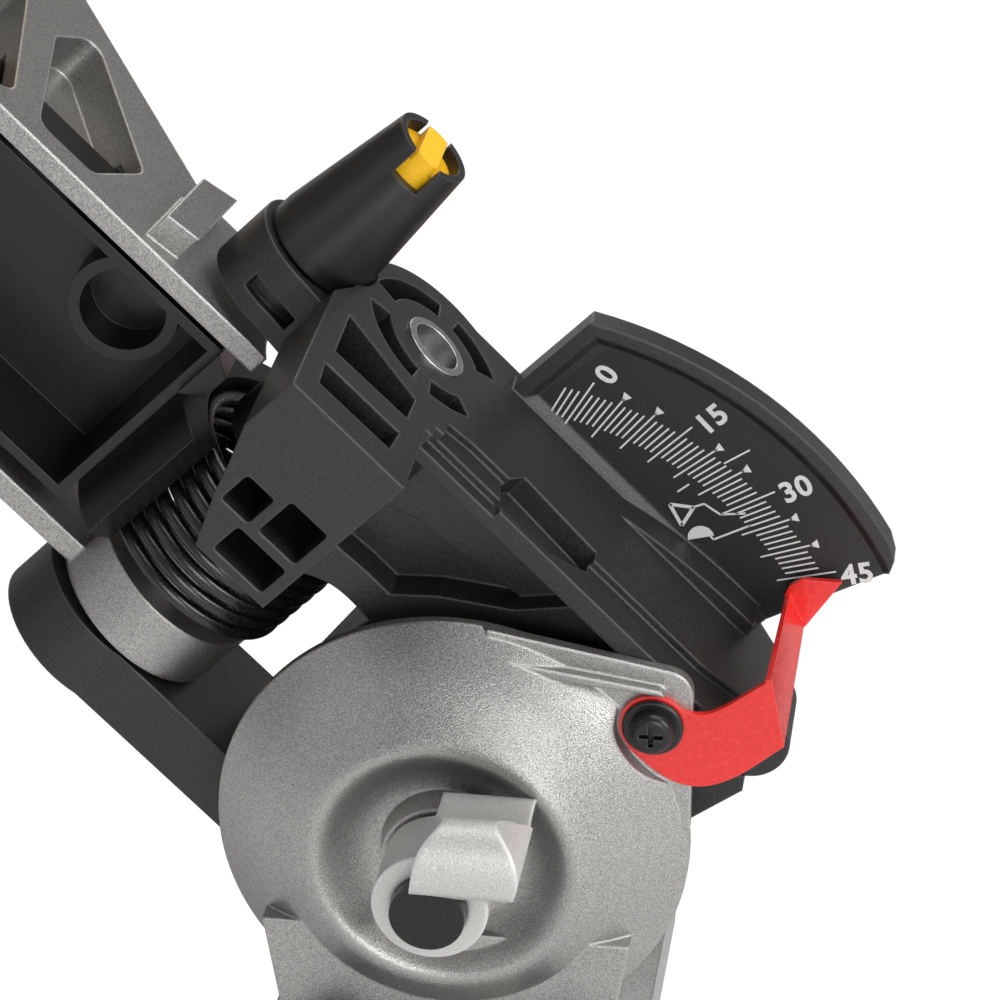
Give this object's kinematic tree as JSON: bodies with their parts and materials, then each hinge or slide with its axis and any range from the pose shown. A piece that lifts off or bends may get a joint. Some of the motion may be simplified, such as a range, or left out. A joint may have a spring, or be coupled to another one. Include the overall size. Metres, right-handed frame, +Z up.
{
  "type": "compound mitre saw",
  "caption": "Bench mitre saw with a pivoting circular blade head that tilts about a rear hub with an angle scale, on a rotating table with fences.",
  "frame": {"origin": "turntable axis at the bench surface, which is the centre of the bench bolt pattern", "axes": "+Z up, operator stands at -Y, +X to the operator's right"},
  "size_m": [0.705, 0.6252, 0.5319],
  "materials": {
    "silver_casting": "silver speckled paint",
    "black_casting": "satin black paint",
    "machined": "machined",
    "black_steel": "black oxide",
    "bright_steel": "ground and machined",
    "red_pointer": "gloss red",
    "yellow_plastic": "moulded",
    "black_plastic": "moulded, textured",
    "foot_rubber": "moulded",
    "clear_guard": "clear polycarbonate",
    "windings": "varnished copper"
  },
  "bodies": {
    "base": {"base": "silver_casting", "feet": "foot_rubber", "mitre_scale": "bright_steel", "fence_left": "machined", "fence_right": "machined"},
    "fence_slide_left": {"fence_slide_left": "machined"},
    "fence_slide_right": {"fence_slide_right": "machined"},
    "fence_knob_left": {"fence_knob_left": "black_plastic"},
    "fence_knob_right": {"fence_knob_right": "black_plastic"},
    "table": {"turntable": "silver_casting", "kerf_plate_left": "red_pointer", "kerf_plate_right": "red_pointer", "kerf_screws": "black_steel", "pivot_bolt": "black_steel", "rear_hub": "silver_casting", "hub_bolts": "black_steel", "bevel_bolt": "black_steel", "bevel_pointer": "red_pointer", "pointer_washer": "black_steel", "pointer_screw": "black_steel"},
    "mitre_knob": {"mitre_knob": "black_plastic"},
    "detent_lever": {"detent_lever": "black_plastic"},
    "bevel_lever": {"bevel_lever": "black_plastic"},
    "head": {"trunnion": "black_casting", "bushing_left": "bright_steel", "bushing_right": "bright_steel", "chop_shaft": "bright_steel", "stop_screw": "black_steel", "torsion_spring": "black_steel"},
    "lock_pin": {"lock_pin": "black_plastic", "lock_pin_insert": "yellow_plastic"},
    "arm": {"arm": "silver_casting", "dust_chute": "black_plastic", "gear_case": "black_casting", "motor_housing": "yellow_plastic", "brush_caps": "black_plastic", "end_cap": "black_plastic", "cord_gland": "black_plastic", "field_coils": "windings", "upper_guard": "machined", "handle": "black_plastic", "carry_handle": "black_plastic"},
    "spindle": {"blade": "bright_steel", "arbor": "bright_steel", "inner_flange": "bright_steel", "outer_flange": "bright_steel", "arbor_bolt": "black_steel", "drive_gear": "bright_steel"},
    "rotor": {"armature": "windings", "cooling_fan": "black_plastic"},
    "lower_guard": {"lower_guard": "clear_guard"},
    "trigger": {"trigger": "black_plastic"}
  },
  "joints": [
    {"name": "mitre", "type": "hinge", "parent": "base", "child": "table", "pos_m": [0, 0, 0.07], "axis": [0, 0, 1], "range_deg": [-50, 50]},
    {"name": "mitre_lock", "type": "hinge", "parent": "table", "child": "mitre_knob", "pos_m": [0, -0.25, 0.054], "axis": [0, 1, 0], "range_deg": [0, 180]},
    {"name": "detent_release", "type": "hinge", "parent": "table", "child": "detent_lever", "pos_m": [0, -0.216, 0.0966], "axis": [1, 0, 0], "range_deg": [-8, 0], "stiffness_Nm_per_rad": 0.8, "springref_deg": 17.19},
    {"name": "bevel_lock", "type": "hinge", "parent": "table", "child": "bevel_lever", "pos_m": [0, 0.285, 0.092], "axis": [0, 1, 0], "range_deg": [0, 60]},
    {"name": "bevel", "type": "hinge", "parent": "table", "child": "head", "pos_m": [0, 0.212, 0.092], "axis": [0, 1, 0], "range_deg": [-48, 3]},
    {"name": "head_lock", "type": "slide", "parent": "head", "child": "lock_pin", "axis": [0.7071, 0, -0.7071], "range_m": [-0.008, 0]},
    {"name": "chop", "type": "hinge", "parent": "head", "child": "arm", "pos_m": [0.05622, 0.227, 0.14822], "axis": [0.7071, 0, -0.7071], "range_deg": [0, 36], "stiffness_Nm_per_rad": 28, "springref_deg": -68.75},
    {"name": "blade_spin", "type": "hinge", "parent": "arm", "child": "spindle", "pos_m": [0.21601, 0.02655, 0.30801], "axis": [0.7071, 0, -0.7071], "continuous": true},
    {"name": "motor_spin", "type": "hinge", "parent": "arm", "child": "rotor", "pos_m": [0.2272, 0.08131, 0.31921], "axis": [0.7071, 0, -0.7071], "continuous": true},
    {"name": "lower_guard_swing", "type": "hinge", "parent": "arm", "child": "lower_guard", "pos_m": [0.21601, 0.02655, 0.30801], "axis": [0.7071, 0, -0.7071], "range_deg": [-115.2, 0.2]},
    {"name": "trigger_press", "type": "hinge", "parent": "arm", "child": "trigger", "pos_m": [0.38007, -0.04841, 0.47207], "axis": [0.7071, 0, -0.7071], "range_deg": [0, 8], "stiffness_Nm_per_rad": 0.5, "springref_deg": -11.46},
    {"name": "left_fence_slide", "type": "slide", "parent": "base", "child": "fence_slide_left", "axis": [-1, 0, 0], "range_m": [0, 0.035]},
    {"name": "right_fence_slide", "type": "slide", "parent": "base", "child": "fence_slide_right", "axis": [1, 0, 0], "range_m": [-0.005, 0.006]},
    {"name": "left_fence_lock", "type": "hinge", "parent": "base", "child": "fence_knob_left", "pos_m": [-0.19, 0.03, 0.111], "axis": [0, 1, 0], "range_deg": [0, 180]},
    {"name": "right_fence_lock", "type": "hinge", "parent": "base", "child": "fence_knob_right", "pos_m": [0.19, 0.03, 0.111], "axis": [0, 1, 0], "range_deg": [0, 180]}
  ],
  "couplings": [
    {"joint": "lower_guard_swing", "follows": "chop", "ratio": -3.2},
    {"joint": "motor_spin", "follows": "blade_spin", "ratio": -3}
  ]
}
